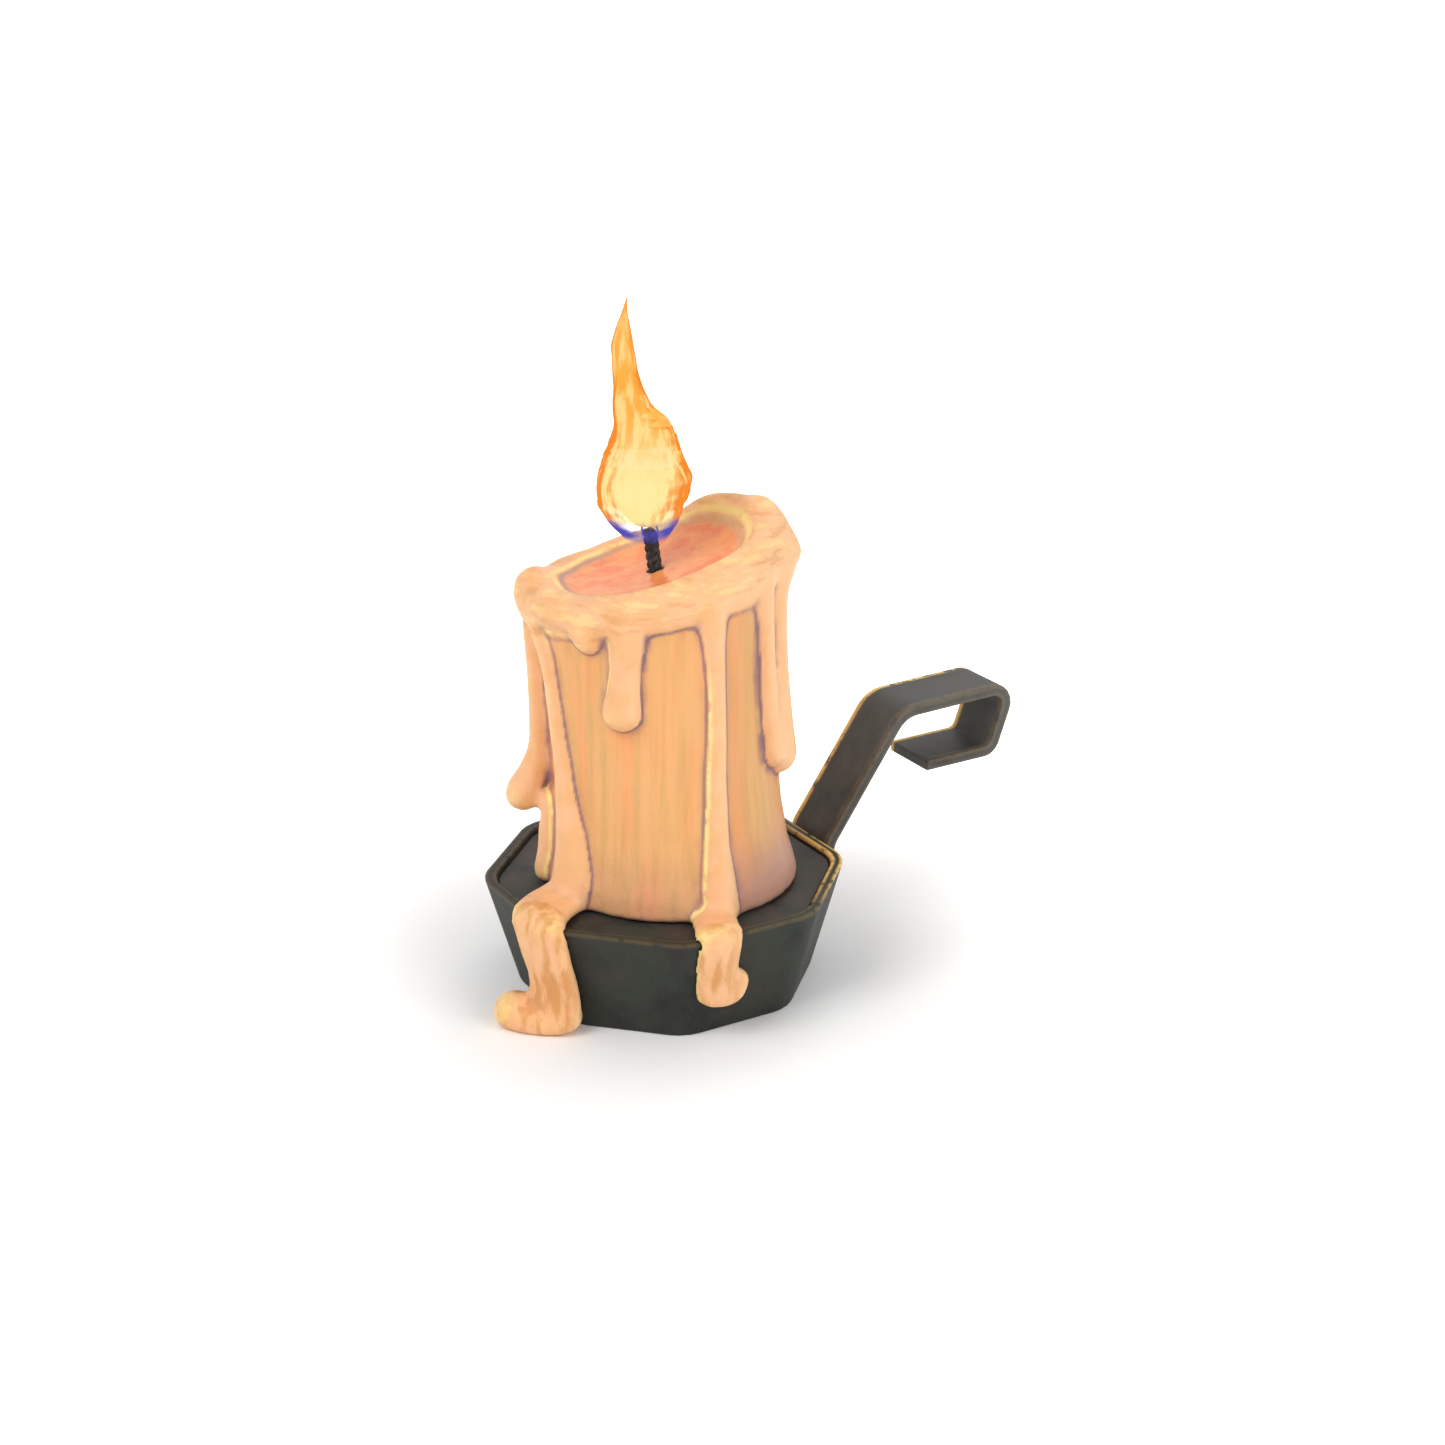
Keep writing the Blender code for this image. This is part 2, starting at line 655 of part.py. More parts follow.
def pan_clearance():
    """The pan and its drip plate, grown by the clearance, as one cutter for the wax."""
    grown = FIT / math.cos(WALL_LEAN)
    low = -PAN_HEIGHT
    rings = (
        (wall_flat(low) + grown, low),
        (wall_flat(PAN_HEIGHT + FIT) + grown, PAN_HEIGHT + FIT),
        (bore_flat(PAN_HEIGHT + FIT) - grown, PAN_HEIGHT + FIT),
        (bore_flat(PLATE_TOP + FIT) - grown, PLATE_TOP + FIT),
    )
    return hide_cutter(add_object("pan clearance", octagon_solid(rings, PAN_CORNER_ROUND)))


def table_clearance():
    """Everything below the surface that the pan stands on."""
    bm = bmesh.new()
    bmesh.ops.create_cube(bm, size=8 * PAN_RIM_FLAT)
    bmesh.ops.translate(bm, verts=bm.verts, vec=(0, 0, -4 * PAN_RIM_FLAT))
    return hide_cutter(add_object("table clearance", bm))


def wick_route():
    """Middle line of the wick: straight up the butt and body, then bent at the pool."""
    bottom = PAN_FLOOR + FIT + CUP_FLOOR + FIT
    pool = CREST_HEIGHT - CRATER_DEPTH
    return (
        Vector((0, 0, bottom)),
        Vector((0, 0, PLATE_TOP)),
        polar(HIGH_BEARING, WICK_OUT_LEAN / 2, WICK_STRAIGHT),
        polar(HIGH_BEARING, WICK_OUT_LEAN, pool),
        polar(HIGH_BEARING, WICK_TIP_LEAN, pool + WICK_LENGTH_SHOWN),
    )


def wick_clearance(name, past_end):
    """The wick's path grown by the clearance, run past both of its ends."""
    route = list(wick_route())
    route[0] = route[0] - Vector((0, 0, past_end))
    route[-1] = route[-1] + (route[-1] - route[-2]).normalized() * past_end
    return hide_cutter(add_object(name, tube_along(route, WICK_RADIUS + FIT)))


def make_wax(material):
    """The candle's body, lip and runs as one set mass, fitted to the pan and the cup."""
    bm = bmesh.new()
    add_candle_body(bm)
    for stations in SIDE_RUNS:
        add_side_run(bm, stations)
    add_spill(bm, SPILL_FRONT_START, SPILL_FRONT)
    add_spill(bm, SPILL_LEFT_START, SPILL_LEFT)
    wax = add_object("candle_wax", bm, material)
    wax.data.shade_smooth()
    melt = wax.modifiers.new("melt together", "REMESH")
    melt.mode = "VOXEL"
    melt.voxel_size = WAX_VOXEL
    melt.use_smooth_shade = True
    soft = wax.modifiers.new("soften", "SMOOTH")
    soft.factor = 0.5
    soft.iterations = WAX_SMOOTHING
    thin = wax.modifiers.new("lighten", "DECIMATE")
    thin.ratio = WAX_KEEP
    add_boolean(wax, pan_clearance(), "DIFFERENCE")
    add_boolean(wax, table_clearance(), "DIFFERENCE")
    butt_bottom = PAN_FLOOR + FIT + CUP_FLOOR + FIT
    butt = round_solid(BUTT_RADIUS, butt_bottom, PLATE_TOP + FIT + BUTT_OVERLAP)
    add_boolean(wax, add_object("candle butt", butt), "UNION")
    bore = wick_clearance("wick bore", 2 * WICK_RADIUS)
    add_boolean(wax, bore, "DIFFERENCE")
    return wax


def make_wick(material):
    return add_object("wick", tube_along(wick_route(), WICK_RADIUS), material, 40)


def make_flame(material):
    """The flame as stacked rings around the wick's tip, with a pocket for the wick."""
    tip_height = CREST_HEIGHT - CRATER_DEPTH + WICK_LENGTH_SHOWN
    tip = polar(HIGH_BEARING, WICK_TIP_LEAN, tip_height)
    bm = bmesh.new()
    loops = []
    for above, aside, radius in FLAME_STATIONS:
        place = Matrix.Translation(tip + polar(HIGH_BEARING, aside, above))
        made = bmesh.ops.create_circle(
            bm, segments=FLAME_RING_POINTS, radius=radius, matrix=place)
        loops.append(list({edge for vert in made["verts"] for edge in vert.link_edges}))
    for lower, upper in zip(loops, loops[1:]):
        bmesh.ops.bridge_loops(bm, edges=lower + upper)
    bmesh.ops.contextual_create(bm, geom=loops[0])
    bmesh.ops.contextual_create(bm, geom=loops[-1])
    flame = add_object("flame", bm, material, 60)
    add_boolean(flame, wick_clearance("wick pocket", FIT), "DIFFERENCE")
    return flame


def build():
    clear_scene()
    iron = make_material("blackened iron", (0.030, 0.030, 0.027), 0.55, 0.6)
    wax = make_material("melted wax", (0.80, 0.48, 0.24), 0.40, 0.0)
    char = make_material("charred cotton", (0.02, 0.02, 0.02), 0.90, 0.0)
    fire = make_material("flame", (1.0, 0.62, 0.15), 0.50, 0.0)
    rivet_heights = {"rivet_lower": RIVET_LOWER_HEIGHT, "rivet_upper": RIVET_UPPER_HEIGHT}
    holes = [rivet_hole(name + " hole", height) for name, height in rivet_heights.items()]
    make_pan(iron, holes)
    make_cup(iron)
    make_strap(iron, holes)
    for name, height in rivet_heights.items():
        make_rivet(name, iron, height)
    make_wax(wax)
    make_wick(char)
    make_flame(fire)


build()
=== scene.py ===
import math

import bmesh
import bpy
import numpy as np
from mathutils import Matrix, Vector


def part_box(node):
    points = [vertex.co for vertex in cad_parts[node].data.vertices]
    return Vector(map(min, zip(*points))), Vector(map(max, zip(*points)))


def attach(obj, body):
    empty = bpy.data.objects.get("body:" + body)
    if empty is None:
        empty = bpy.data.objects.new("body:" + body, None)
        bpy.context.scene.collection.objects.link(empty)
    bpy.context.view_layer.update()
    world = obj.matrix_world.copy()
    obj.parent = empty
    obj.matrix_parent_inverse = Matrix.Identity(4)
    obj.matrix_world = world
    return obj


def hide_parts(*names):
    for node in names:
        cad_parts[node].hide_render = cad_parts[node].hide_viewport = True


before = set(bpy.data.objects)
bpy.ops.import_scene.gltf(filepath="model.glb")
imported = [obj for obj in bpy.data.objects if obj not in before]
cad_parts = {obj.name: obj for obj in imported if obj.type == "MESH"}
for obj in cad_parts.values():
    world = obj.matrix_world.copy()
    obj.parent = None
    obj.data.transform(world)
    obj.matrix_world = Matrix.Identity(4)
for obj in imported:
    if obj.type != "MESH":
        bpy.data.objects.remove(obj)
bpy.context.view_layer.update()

scene = bpy.context.scene

# The camera stands at the photo's viewpoint: a little over half a metre in front
# of the candle and 0.28 m above the table. The picture's right-hand side is the
# direction at this bearing, measured about +Z from the handle.
PICTURE_RIGHT = -30.6
CAMERA_ASIDE = 0.0144
CAMERA_AWAY = 0.5621
CAMERA_HEIGHT = 0.2829
CAMERA_PITCH = 21.04
CAMERA_LENS = 61.3
CAMERA_SENSOR = 36
CAMERA_CLIP = 0.01


def towards(bearing, distance, height=0.0):
    """A point at a bearing and distance from the candle's axis."""
    angle = math.radians(bearing)
    return Vector((distance * math.cos(angle), distance * math.sin(angle), height))


camera = bpy.data.objects.new("camera", bpy.data.cameras.new("camera"))
camera.data.lens = CAMERA_LENS
camera.data.sensor_width = CAMERA_SENSOR
camera.data.clip_start = CAMERA_CLIP
camera.location = (
    towards(PICTURE_RIGHT, CAMERA_ASIDE)
    + towards(PICTURE_RIGHT - 90, CAMERA_AWAY, CAMERA_HEIGHT)
)
camera.rotation_euler = (math.radians(90 - CAMERA_PITCH), 0, math.radians(PICTURE_RIGHT))
scene.collection.objects.link(camera)
scene.camera = camera
scene.view_settings.view_transform = "Standard"

# The table: one plain white sheet under the candle, lit by an even white surround and
# three large soft lamps. Away from the candle it fades to plain white.
FLOOR_HALF = 4.0
FLOOR_FADE = (0.045, 0.20)
FLOOR_COLOUR = (0.98, 0.98, 0.98, 1.0)
FLOOR_ROUGHNESS = 0.9
WHITE = (1.0, 1.0, 1.0, 1.0)
SURROUND_LEVEL = 0.60
LAMP_AIM = Vector((0.0, 0.0, 0.06))

# name, bearing, distance, height, size, watts
LAMPS = (
    ("key lamp", PICTURE_RIGHT - 135, 0.75, 0.80, 0.50, 4.0),
    ("fill lamp", PICTURE_RIGHT - 40, 0.95, 0.55, 0.70, 3.5),
    ("back lamp", PICTURE_RIGHT + 70, 0.80, 0.90, 0.50, 2.0),
)


def add_node(tree, kind, **settings):
    """A node of this kind with some of its properties set."""
    node = tree.nodes.new("ShaderNode" + kind)
    for name, value in settings.items():
        setattr(node, name, value)
    return node


def feed(tree, socket, value):
    """Link a socket into this one, or write a plain value on it."""
    if isinstance(value, bpy.types.NodeSocket):
        tree.links.new(value, socket)
    else:
        socket.default_value = value


def maths(tree, operation, first, second, clamp=False):
    """A maths node on two values, each a number or a socket."""
    node = add_node(tree, "Math", operation=operation, use_clamp=clamp)
    feed(tree, node.inputs[0], first)
    feed(tree, node.inputs[1], second)
    return node.outputs["Value"]


def ramp(tree, value, low, high):
    """A value remapped so that low gives 0 and high gives 1, with soft ends."""
    node = add_node(tree, "MapRange", interpolation_type="SMOOTHSTEP")
    feed(tree, node.inputs["Value"], value)
    feed(tree, node.inputs["From Min"], low)
    feed(tree, node.inputs["From Max"], high)
    return node.outputs["Result"]


def seen_white(tree):
    """1 for the eye and for what metal or gloss shows of the surround, 0 for plain light."""
    path = add_node(tree, "LightPath")
    seen = path.outputs["Is Camera Ray"]
    for name in ("Is Glossy Ray", "Is Transmission Ray"):
        seen = maths(tree, "MAXIMUM", seen, path.outputs[name])
    return seen


def new_material(name, settings):
    """A new material, with these values on its Principled BSDF, and that shader."""
    material = bpy.data.materials.new(name)
    material.use_nodes = True
    shader = material.node_tree.nodes["Principled BSDF"]
    for label, value in settings.items():
        shader.inputs[label].default_value = value
    return material, shader


def paint(mesh, material):
    """Put one material on the whole of a mesh."""
    mesh.materials.clear()
    mesh.materials.append(material)


bm = bmesh.new()
bmesh.ops.create_grid(bm, x_segments=1, y_segments=1, size=FLOOR_HALF)
floor_mesh = bpy.data.meshes.new("table")
bm.to_mesh(floor_mesh)
bm.free()
floor = bpy.data.objects.new("table", floor_mesh)
scene.collection.objects.link(floor)
floor_material, shader = new_material("white table", {
    "Base Color": FLOOR_COLOUR,
    "Roughness": FLOOR_ROUGHNESS,
    "Specular IOR Level": 0.0,
    "Emission Color": WHITE,
})
tree = floor_material.node_tree
spot = add_node(tree, "TexCoord")
length = add_node(tree, "VectorMath", operation="LENGTH")
feed(tree, length.inputs[0], spot.outputs["Object"])
fade = ramp(tree, length.outputs["Value"], *FLOOR_FADE)
feed(tree, shader.inputs["Emission Strength"], maths(tree, "MULTIPLY", fade, seen_white(tree)))
paint(floor_mesh, floor_material)

world = bpy.data.worlds.new("surround")
world.use_nodes = True
scene.world = world
tree = world.node_tree
surround = tree.nodes["Background"]
surround.inputs["Color"].default_value = WHITE
level = add_node(tree, "Mix")
level.inputs["A"].default_value = SURROUND_LEVEL
level.inputs["B"].default_value = 1.0
feed(tree, level.inputs["Factor"], seen_white(tree))
feed(tree, surround.inputs["Strength"], level.outputs["Result"])

for name, bearing, distance, height, size, watts in LAMPS:
    lamp = bpy.data.lights.new(name, "AREA")
    lamp.size = size
    lamp.energy = watts
    stand = bpy.data.objects.new(name, lamp)
    stand.location = towards(bearing, distance, height)
    aim = LAMP_AIM - stand.location
    stand.rotation_euler = aim.to_track_quat("-Z", "Y").to_euler()
    scene.collection.objects.link(stand)


# The pan: eight sloping sides of blackened iron over a flat bottom. It carries the cup,
# the strap and everything else. The same iron finish serves all the metal pieces:
# near-black with green and brown in it, dry brush-like rubbing, and a warm highlight painted on edges.
IRON_DARK = (0.0125, 0.0140, 0.0120, 1.0)
IRON_GREEN = (0.0300, 0.0360, 0.0270, 1.0)
IRON_BROWN = (0.0560, 0.0400, 0.0330, 1.0)
IRON_GREY = (0.120, 0.116, 0.108, 1.0)
# Painted highlight: the flame's warm light glinting on the iron's edges
IRON_EDGE_HIGHLIGHT = (0.95, 0.60, 0.17, 1.0)
IRON_SPECULAR = 0.25
IRON_ROUGHNESS = 0.46
IRON_ROUGHNESS_SPREAD = 0.22
IRON_ROUGHNESS_SPAN = (0.2, 0.8)
IRON_BUMP_DEPTH = 0.0006
IRON_BUMP_STRENGTH = 0.45
STROKE_DEPTH = 0.35
NOISE_ROUGHNESS = 0.55

# Patterns in the iron: scale, stretch along the axes, detail
EVENLY = (1.0, 1.0, 1.0)
PATCHES = (60, EVENLY, 5)
DRY_STROKES = (900, (1.0, 1.0, 0.16), 3)
DENTS = (130, EVENLY, 1)
STAIN_AND_LIGHT_PATCHES = (85, EVENLY, 4)
# Breaks in the painted edge highlight
HIGHLIGHT_BREAKS = (330, EVENLY, 3)
HIGHLIGHT_SPAN = (0.32, 0.50)

# A face narrower than the strip is an edge itself, and other faces are given a band for the painted
# edge highlight.
# On the strap, a narrow face that looks less along Y than the bend's share counts as a
# face, and a face that looks less along Y than the bar's share is given a second band.
EDGE_STRIP = 0.0005
EDGE_BAND = 0.0006
BEND_LOOKS_ALONG_Y = 0.1
BAR_LOOKS_ALONG_Y = 0.5
MERGE_DISTANCE = 0.000001
FLAT_WITHIN = math.radians(1)
SHARP_FROM = math.radians(32)

# The rim's painted highlight: the side where it gleams most, the height it starts at, its least share
# and how tightly it gathers
RIM_LIT_SIDE = towards(PICTURE_RIGHT + 12, 1.0).xy
RIM_LIT_FROM = 0.024
RIM_HIGHLIGHT_LEAST = 0.05
RIM_HIGHLIGHT_FOCUS = 8


def times(tree, first, second):
    """The product of two values, held between 0 and 1."""
    return maths(tree, "MULTIPLY", first, second, clamp=True)


def blend(tree, amount, first, second):
    """Mix two colours, each a tuple or a socket, by an amount, a number or a socket."""
    node = add_node(tree, "Mix", data_type="RGBA")
    colours = [socket for socket in node.inputs if socket.type == "RGBA"]
    for socket, value in zip((node.inputs[0], *colours), (amount, first, second)):
        feed(tree, socket, value)
    return [socket for socket in node.outputs if socket.type == "RGBA"][0]


def laid_over(tree, base, layers):
    """A colour with others laid over it in turn, each as (mask, share, colour)."""
    for cover, share, colour in layers:
        base = blend(tree, times(tree, cover, share), base, colour)
    return base


def new_group(name, inputs, outputs):
    """A node group with these sockets, with its own input and output nodes."""
    group = bpy.data.node_groups.new(name, "ShaderNodeTree")
    for label, kind in inputs:
        group.interface.new_socket(label, in_out="INPUT", socket_type="NodeSocket" + kind)
    for label, kind in outputs:
        group.interface.new_socket(label, in_out="OUTPUT", socket_type="NodeSocket" + kind)
    return group, group.nodes.new("NodeGroupInput"), group.nodes.new("NodeGroupOutput")


def use_group(tree, group, **values):
    """This group as a node, with values or sockets fed into its inputs."""
    node = add_node(tree, "Group")
    node.node_tree = group
    for label, value in values.items():
        feed(tree, node.inputs[label], value)
    return node.outputs


# Noise in object space, which can be stretched along the axes
noise_group, given, result = new_group(
    "object noise",
    (("Scale", "Float"), ("Stretch", "Vector"), ("Detail", "Float"), ("Roughness", "Float")),
    (("Value", "Float"),),
)
place = add_node(noise_group, "TexCoord")
stretched = add_node(noise_group, "VectorMath", operation="MULTIPLY")
noise = add_node(noise_group, "TexNoise")
feed(noise_group, stretched.inputs[0], place.outputs["Object"])
feed(noise_group, stretched.inputs[1], given.outputs["Stretch"])
feed(noise_group, noise.inputs["Vector"], stretched.outputs["Vector"])
for label in ("Scale", "Detail", "Roughness"):
    feed(noise_group, noise.inputs[label], given.outputs[label])
feed(noise_group, result.inputs["Value"], noise.outputs["Fac"])


def object_noise(tree, scale, stretch, detail):
    """Noise of one pattern, as a value from 0 to 1."""
    return use_group(
        tree, noise_group, Scale=scale, Stretch=stretch, Detail=detail, Roughness=NOISE_ROUGHNESS
    )["Value"]


def mask(tree, name):
    """A painted value that the mesh carries under this name."""
    return add_node(tree, "Attribute", attribute_name=name).outputs["Fac"]


def bumped(tree, height, depth, strength):
    """A normal that stands out and in with a height."""
    bump = add_node(tree, "Bump")
    bump.inputs["Distance"].default_value = depth
    bump.inputs["Strength"].default_value = strength
    feed(tree, bump.inputs["Height"], height)
    return bump.outputs["Normal"]


# Painted edge highlight: the painted-on edge mask, broken up by noise
edge_highlight_group, given, result = new_group("edge highlight", (("Amount", "Float"),), (("Mask", "Float"),))
broken = ramp(edge_highlight_group, object_noise(edge_highlight_group, *HIGHLIGHT_BREAKS), *HIGHLIGHT_SPAN)
highlit = maths(edge_highlight_group, "MULTIPLY", mask(edge_highlight_group, "edge_highlight"), broken)
feed(edge_highlight_group, result.inputs["Mask"], times(edge_highlight_group, highlit, given.outputs["Amount"]))

# The iron's surface: patches, brown (stain, and on the plate painted warm light too), dry strokes,
# grey dulling and the painted edge highlight
iron_group, given, result = new_group(
    "iron surface",
    (("Brown", "Float"), ("Grey", "Float"), ("Rubbed", "Float")),
    (("Colour", "Color"), ("Roughness", "Float"), ("Normal", "Vector")),
)
patches = object_noise(iron_group, *PATCHES)
strokes = object_noise(iron_group, *DRY_STROKES)
stain_and_light = object_noise(iron_group, *STAIN_AND_LIGHT_PATCHES)
highlit = use_group(iron_group, edge_highlight_group, Amount=given.outputs["Rubbed"])["Mask"]
colour = laid_over(iron_group, IRON_DARK, (
    (ramp(iron_group, patches, 0.35, 0.65), 1.0, IRON_GREEN),
    (ramp(iron_group, stain_and_light, 0.36, 0.62), given.outputs["Brown"], IRON_BROWN),
    (ramp(iron_group, strokes, 0.45, 0.75), 0.45, IRON_GREEN),
    (ramp(iron_group, patches, 0.15, 0.75), given.outputs["Grey"], IRON_GREY),
    (highlit, 1.0, IRON_EDGE_HIGHLIGHT),
))
feed(iron_group, result.inputs["Colour"], colour)
rough = ramp(iron_group, patches, *IRON_ROUGHNESS_SPAN)
rough = times(iron_group, rough, IRON_ROUGHNESS_SPREAD)
feed(iron_group, result.inputs["Roughness"], maths(iron_group, "ADD", rough, IRON_ROUGHNESS))
dents = object_noise(iron_group, *DENTS)
height = maths(iron_group, "ADD", times(iron_group, strokes, STROKE_DEPTH), dents)
normal = bumped(iron_group, height, IRON_BUMP_DEPTH, IRON_BUMP_STRENGTH)
feed(iron_group, result.inputs["Normal"], normal)


def iron_material(name, brown, grey, edge_highlight):
    """Blackened iron, with its share of brown and grey tint and of the painted warm edge highlight."""
    material, shader = new_material(name, {"Specular IOR Level": IRON_SPECULAR})
    tree = material.node_tree
    surface = use_group(tree, iron_group, Brown=brown, Grey=grey, Rubbed=edge_highlight)
    for label, socket in (("Colour", "Base Color"), ("Roughness", "Roughness"), ("Normal", "Normal")):
        feed(tree, shader.inputs[socket], surface[label])
    return material


def merged_copy(node):
    """A bmesh of a CAD node with its loose triangles joined up."""
    copy = bmesh.new()
    copy.from_mesh(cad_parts[node].data)
    bmesh.ops.remove_doubles(copy, verts=copy.verts, dist=MERGE_DISTANCE)
    return copy


def new_piece(name, bm):
    """An object with this mesh, at the origin."""
    mesh = bpy.data.meshes.new(name)
    bm.to_mesh(mesh)
    bm.free()
    piece = bpy.data.objects.new(name, mesh)
    scene.collection.objects.link(piece)
    return piece


def write_attribute(mesh, name, values):
    """Paint a value on every point of a mesh."""
    layer = mesh.attributes.new(name, "FLOAT", "POINT")
    layer.data.foreach_set("value", np.asarray(values, dtype=np.float32))


def highlit_copy(name, node, material, highlight_at, second_band=0.0):
    """A copy of an iron piece that knows its edges, with a warm highlight painted on them as strongly
    as the given function says at each point.

    A second band widens the painted highlight on faces that don't look along Y.
    """
    bm = merged_copy(node)
    bmesh.ops.dissolve_limit(bm, angle_limit=FLAT_WITHIN, verts=bm.verts, edges=bm.edges)
    flats = [
        face for face in bm.faces
        if 2 * face.calc_area() / face.calc_perimeter() > EDGE_STRIP
        or second_band and abs(face.normal.y) < BEND_LOOKS_ALONG_Y
    ]
    bands = [set(bmesh.ops.inset_region(
        bm, faces=flats, thickness=EDGE_BAND, use_boundary=True, use_even_offset=True
    )["faces"])]
    if second_band:
        wide = [face for face in flats if abs(face.normal.y) < BAR_LOOKS_ALONG_Y]
        bands.append(set(bmesh.ops.inset_region(
            bm, faces=wide, thickness=second_band, use_boundary=True, use_even_offset=True
        )["faces"]))
    strips = set(bm.faces) - set(flats) - set().union(*bands)
    on_edge = {vert for face in strips for vert in face.verts}
    rings = [{vert for face in band for vert in face.verts} for band in bands]
    on_edge |= set.intersection(*rings) if second_band else set()
    # How strong the painted highlight is at each point of an edge
    edge_highlight = [highlight_at(vert.co) if vert in on_edge else 0.0 for vert in bm.verts]
    piece = new_piece(name, bm)
    write_attribute(piece.data, "edge_highlight", edge_highlight)
    paint(piece.data, material)
    piece.data.shade_smooth()
    piece.data.set_sharp_from_angle(angle=SHARP_FROM)
    weigh = piece.modifiers.new("even shading", "WEIGHTED_NORMAL")
    weigh.keep_sharp = True
    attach(piece, "root")
    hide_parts(node)


def rim_highlight(point):
    """Painted highlight: most on the rim's corner at the picture's right, a little all round, none
    below.
    """
    aside = max(0.0, point.xy.normalized().dot(RIM_LIT_SIDE))
    shine = RIM_HIGHLIGHT_LEAST + (1 - RIM_HIGHLIGHT_LEAST) * aside ** RIM_HIGHLIGHT_FOCUS
    return shine * (point.z > RIM_LIT_FROM)


pan_iron = iron_material("blackened iron pan", brown=0.30, grey=0.0, edge_highlight=1.0)
highlit_copy("iron_pan", "pan", pan_iron, rim_highlight)

# The cup's drip plate: the same iron, browner in patches, partly stain from hot wax and handling
# and partly painted warm light from the flame on it. It rests in the pan just under the rim.
plate_iron = iron_material("stained and flame-lit iron plate", brown=1.0, grey=0.1, edge_highlight=0.2)
paint(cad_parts["candle_cup"].data, plate_iron)


# The strap handle: flat iron bar bent cold, riveted to the pan's outside, with a warm
# highlight painted on its far and upper edges, standing for the flame's light.
STRAP_SECOND_BAND = 0.0010
STRAP_NEAR_HIGHLIGHT = 0.06
STRAP_LIT_FROM = 0.020


def strap_highlight(point):
    """Painted highlight: full on the far side, a little on the near side, none at the strap's foot."""
    return (STRAP_NEAR_HIGHLIGHT if point.y < 0 else 1.0) * (point.z > STRAP_LIT_FROM)


strap_iron = iron_material("rubbed iron strap", brown=0.60, grey=0.75, edge_highlight=1.0)
highlit_copy("iron_strap", "handle_strap", strap_iron, strap_highlight, STRAP_SECOND_BAND)

# The two rivets: round iron pins through the strap's foot and the pan's wall, with
# their heads closed hot, of the same iron.
rivet_iron = iron_material("iron rivets", brown=0.6, grey=0.3, edge_highlight=0.6)
for rivet in ("rivet_lower", "rivet_upper"):
    paint(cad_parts[rivet].data, rivet_iron)


# The wax: one candle, melted down unevenly and set again. The solid's surface is cut
# finer, its runs are sharpened, and each point learns how far it stands out from the
# plain candle, whether it lies in a crease or on a ridge for painted shade and highlights, and whether
# it is in the pool.
WAX_CELL = 0.00065
WAX_SHARPEN = 0.75

# Rounds of smoothing: of the cut surface, down to its broad shape and round the runs.
# In each, a point goes this share of the way to the middle of its neighbours
WAX_SMOOTHING = 2
WAX_SPREAD = 15
HALO_SPREAD = 8
RELAX_PULL = 0.6

# The plain candle under the runs. Its lip is highest at the picture's right
PLATE_TOP = 0.0266
CREST_HEIGHT = 0.1087
CREST_SLOPE = 0.31
FOOT_LEAN = 0.0020
TOP_LEAN = -0.0024
POOL_RADIUS = 0.0217
HIGH_SIDE = np.array(towards(PICTURE_RIGHT, 1.0))
LIT_FROM = np.array(towards(PICTURE_RIGHT + 165, 1.0, 0.75).normalized())

WAX_BODY = (0.820, 0.430, 0.160, 1.0)
WAX_BODY_ORANGE = (0.900, 0.370, 0.140, 1.0)
WAX_BODY_OLIVE = (0.580, 0.350, 0.130, 1.0)
WAX_PALE = (0.910, 0.500, 0.260, 1.0)
# Runs paler where they face the picture's right: painted light
WAX_PALE_RIGHT = (1.000, 0.640, 0.350, 1.0)
# Painted highlight on lit ridges, run edges, the crater's brim and strokes on the lip
WAX_HIGHLIGHT = (1.000, 0.800, 0.300, 1.0)
# Painted shade in hollows, in outlines round the runs, at the pool's brink and along the foot
WAX_CREASE_SHADE = (0.200, 0.100, 0.160, 1.0)
WAX_POOL = (1.000, 0.370, 0.120, 1.0)
WAX_POOL_DEEP = (0.940, 0.230, 0.080, 1.0)
# Painted shade: darker brown strokes standing for the folds on the spills and the lip
WAX_FOLD_SHADE = (0.700, 0.310, 0.100, 1.0)
WAX_SHADE = (0.430, 0.230, 0.200, 1.0)

WAX_SPECULAR = 0.3
WAX_ROUGHNESS = 0.46
POOL_SMOOTHER = 0.22
GLOW_SHARE = 0.12
GLOW_REACH = (1.0, 0.45, 0.2)
GLOW_DEPTH = 0.003
WAX_BUMP_DEPTH = 0.00022
WAX_BUMP_STRENGTH = 0.45
SWELL_HEIGHT = 4.0
DIP_HEIGHT = -3.0

# Patterns in the wax: scale, stretch along the axes, detail
STREAKS = (430, (1.0, 1.0, 0.06), 3)
BROAD_STREAKS = (120, (1.0, 1.0, 0.14), 3)
GRAIN = (1500, EVENLY, 2)
MOTTLE = (170, EVENLY, 4)
FOLDS = (300, (1.0, 1.0, 0.22), 4)
WRINKLES = (330, (0.35, 0.35, 1.5), 3)
BROKEN_LIGHT = (240, EVENLY, 2)
SWELLS = (260, (1.0, 1.0, 0.6), 2)

# Heights in metres over which a painted value fades in, from the table, from the
# plate's top or, where the name says crest or lip, from the crest of the lip
OFF_TABLE = (0.0003, 0.0015)
LOW_SHADE = (0.026, 0.050)
OFF_PLATE = (0.0004, 0.0020)
FOOT_LINE = (0.0007, 0.0020)
AT_CREST = (-0.0090, -0.0070)
LIP = (-0.0095, -0.0070)
LIP_RUNS = (-0.0080, -0.0055)

